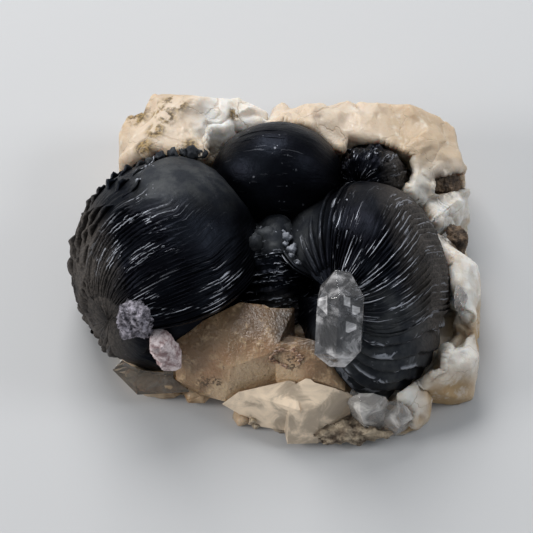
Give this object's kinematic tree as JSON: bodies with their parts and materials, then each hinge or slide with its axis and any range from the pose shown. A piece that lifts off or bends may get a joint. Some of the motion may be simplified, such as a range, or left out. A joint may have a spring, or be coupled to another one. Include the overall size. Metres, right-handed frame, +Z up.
{
  "type": "magnetite pseudomorph after hematite on quartz",
  "caption": "Mineral specimen: dark domed rosettes of thin fanned magnetite plates after hematite, grown on cream quartz with clear quartz crystals; rests on a flat-cut underside.",
  "frame": {"origin": "middle of the flat underside: the centre of the bounding box at its bottom", "axes": "+X to the right as pictured, along the longest extent; +Y to the back; +Z up from the flat-cut underside"},
  "size_m": [0.0606, 0.0534, 0.0235],
  "materials": {
    "magnetite": "dull metallic blue-black plates, satin faces and brighter broken edges",
    "milky_quartz": "cream, translucent, broken faces with iron stains",
    "clear_quartz": "clear crystal faces with veils inside",
    "amber_quartz": "tan to brown, translucent, iron-stained crystal faces",
    "iron_oxide": "dark brown, rough and earthy",
    "pale_crust": "silvery lilac, granular"
  },
  "bodies": {
    "root": {"quartz_matrix": "milky_quartz", "left_rosette": "magnetite", "right_rosette": "magnetite", "back_rosette": "magnetite", "centre_plates": "magnetite", "corner_plates": "magnetite", "standing_quartz": "clear_quartz", "amber_quartz": "amber_quartz", "front_quartz": "clear_quartz", "corner_quartz": "clear_quartz", "rim_quartz": "clear_quartz", "left_quartz": "clear_quartz", "white_quartz": "milky_quartz", "back_crust": "iron_oxide", "side_crust": "iron_oxide", "front_crust": "iron_oxide", "pale_crust": "pale_crust"}
  },
  "joints": []
}
